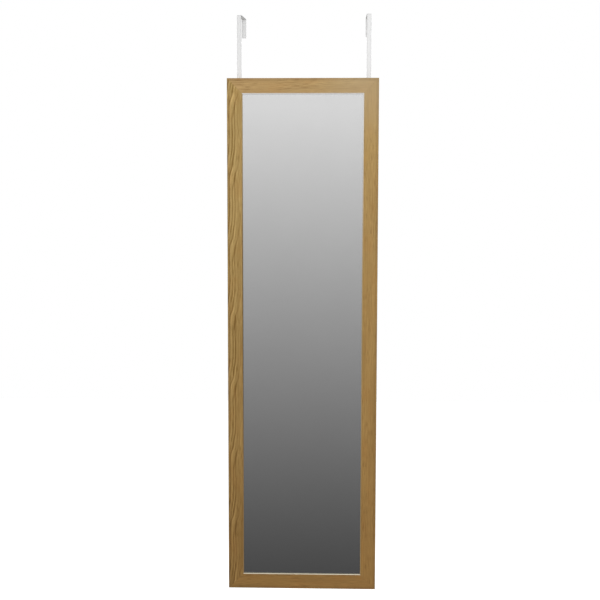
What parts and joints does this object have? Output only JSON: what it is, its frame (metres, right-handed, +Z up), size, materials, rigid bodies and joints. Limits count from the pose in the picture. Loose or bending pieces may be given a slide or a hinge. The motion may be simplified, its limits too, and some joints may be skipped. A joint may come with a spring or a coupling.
{
  "type": "over the door mirror",
  "caption": "Tall mirror in a flat, mitred wood-effect frame, hung over a door's top edge by two bent steel straps that slide in slots behind the frame.",
  "frame": {"origin": "on the door's top edge, midway across the frame, in the plane of the straps' back faces; the left hook's bridge bears there", "axes": "+X to the right as one looks into the mirror, +Y back into the door, +Z up"},
  "size_m": [0.35, 0.0613, 1.353],
  "materials": {
    "oak_foil_upper": "satin printed oak foil, light, grain along the rail",
    "oak_foil_plain": "satin printed oak foil, straight plain grain",
    "oak_foil_figured": "satin printed oak foil, bold figure along one edge",
    "oak_foil_lower": "satin printed oak foil, nearly plain",
    "float_glass": "polished, clear",
    "silvering": "silvered, painted behind",
    "hardboard": "smooth brown hardboard",
    "bright_steel": "plain",
    "zinc_points": "zinc plated, dull",
    "white_enamel": "white powder coat, satin",
    "zinc_screws": "zinc plated",
    "clear_rubber": "soft, milky"
  },
  "bodies": {
    "framed_mirror": {"top_rail": "oak_foil_upper", "bottom_rail": "oak_foil_lower", "left_stile": "oak_foil_figured", "right_stile": "oak_foil_plain", "top_left_nails": "bright_steel", "top_right_nails": "bright_steel", "bottom_right_nails": "bright_steel", "bottom_left_nails": "bright_steel", "mirror_glass": "float_glass", "mirror_silvering": "silvering", "backing_board": "hardboard", "top_points": "zinc_points", "bottom_points": "zinc_points", "left_points": "zinc_points", "right_points": "zinc_points", "left_hook_screws": "zinc_screws", "right_hook_screws": "zinc_screws", "upper_bumpers": "clear_rubber", "lower_bumpers": "clear_rubber"},
    "left_hook": {"left_hook": "white_enamel"},
    "right_hook": {"right_hook": "white_enamel"}
  },
  "joints": [
    {"name": "left_hook_slide", "type": "slide", "parent": "framed_mirror", "child": "left_hook", "axis": [0, 0, 1], "range_m": [-0.003, 0.03]},
    {"name": "right_hook_slide", "type": "slide", "parent": "framed_mirror", "child": "right_hook", "axis": [0, 0, 1], "range_m": [-0.0055, 0.0275]}
  ]
}
